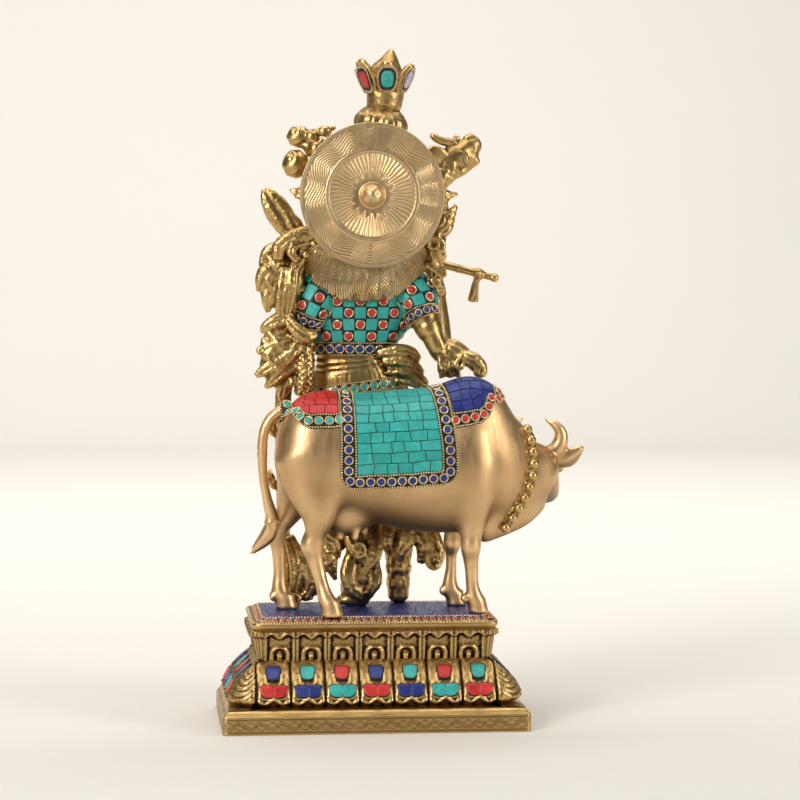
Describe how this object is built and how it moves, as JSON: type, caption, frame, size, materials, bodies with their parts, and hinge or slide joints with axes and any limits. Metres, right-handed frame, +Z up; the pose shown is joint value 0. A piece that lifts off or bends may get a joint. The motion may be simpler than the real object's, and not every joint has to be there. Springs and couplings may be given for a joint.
{
  "type": "flute player and cow statue",
  "caption": "Cast brass statue of a flute player standing behind a cow, inlaid with stone chips, with a halo disc, on a lotus plinth.",
  "frame": {"origin": "middle of the plinth's underside", "axes": "+Z up; +X the way the cow walks; +Y the way the flute player looks; the cow's flank and the player's back face -Y"},
  "size_m": [0.3073, 0.154, 0.5597],
  "materials": {
    "antique_brass": "cast brass, polished on the high spots and dark in the recesses",
    "satin_brass": "brushed satin",
    "pale_brass": "engraved, matt",
    "turquoise_stone": "turquoise chips set in dark resin, ground and polished",
    "coral_stone": "coral-red chips set in dark resin, ground and polished",
    "lapis_stone": "lapis-blue chips set in dark resin, ground and polished",
    "lilac_stone": "pale lilac chips, polished",
    "black_resin": "black resin between the stones"
  },
  "bodies": {
    "root": {"lotus_plinth": "antique_brass", "plinth_stones": "lapis_stone", "cow": "satin_brass", "saddle_cloth": "turquoise_stone", "rump_cloth": "coral_stone", "hump_cloth": "lapis_stone", "flute_player": "antique_brass", "blouse_stones": "turquoise_stone", "waist_belt": "lapis_stone", "halo_disc": "pale_brass", "flute": "antique_brass"}
  },
  "joints": []
}
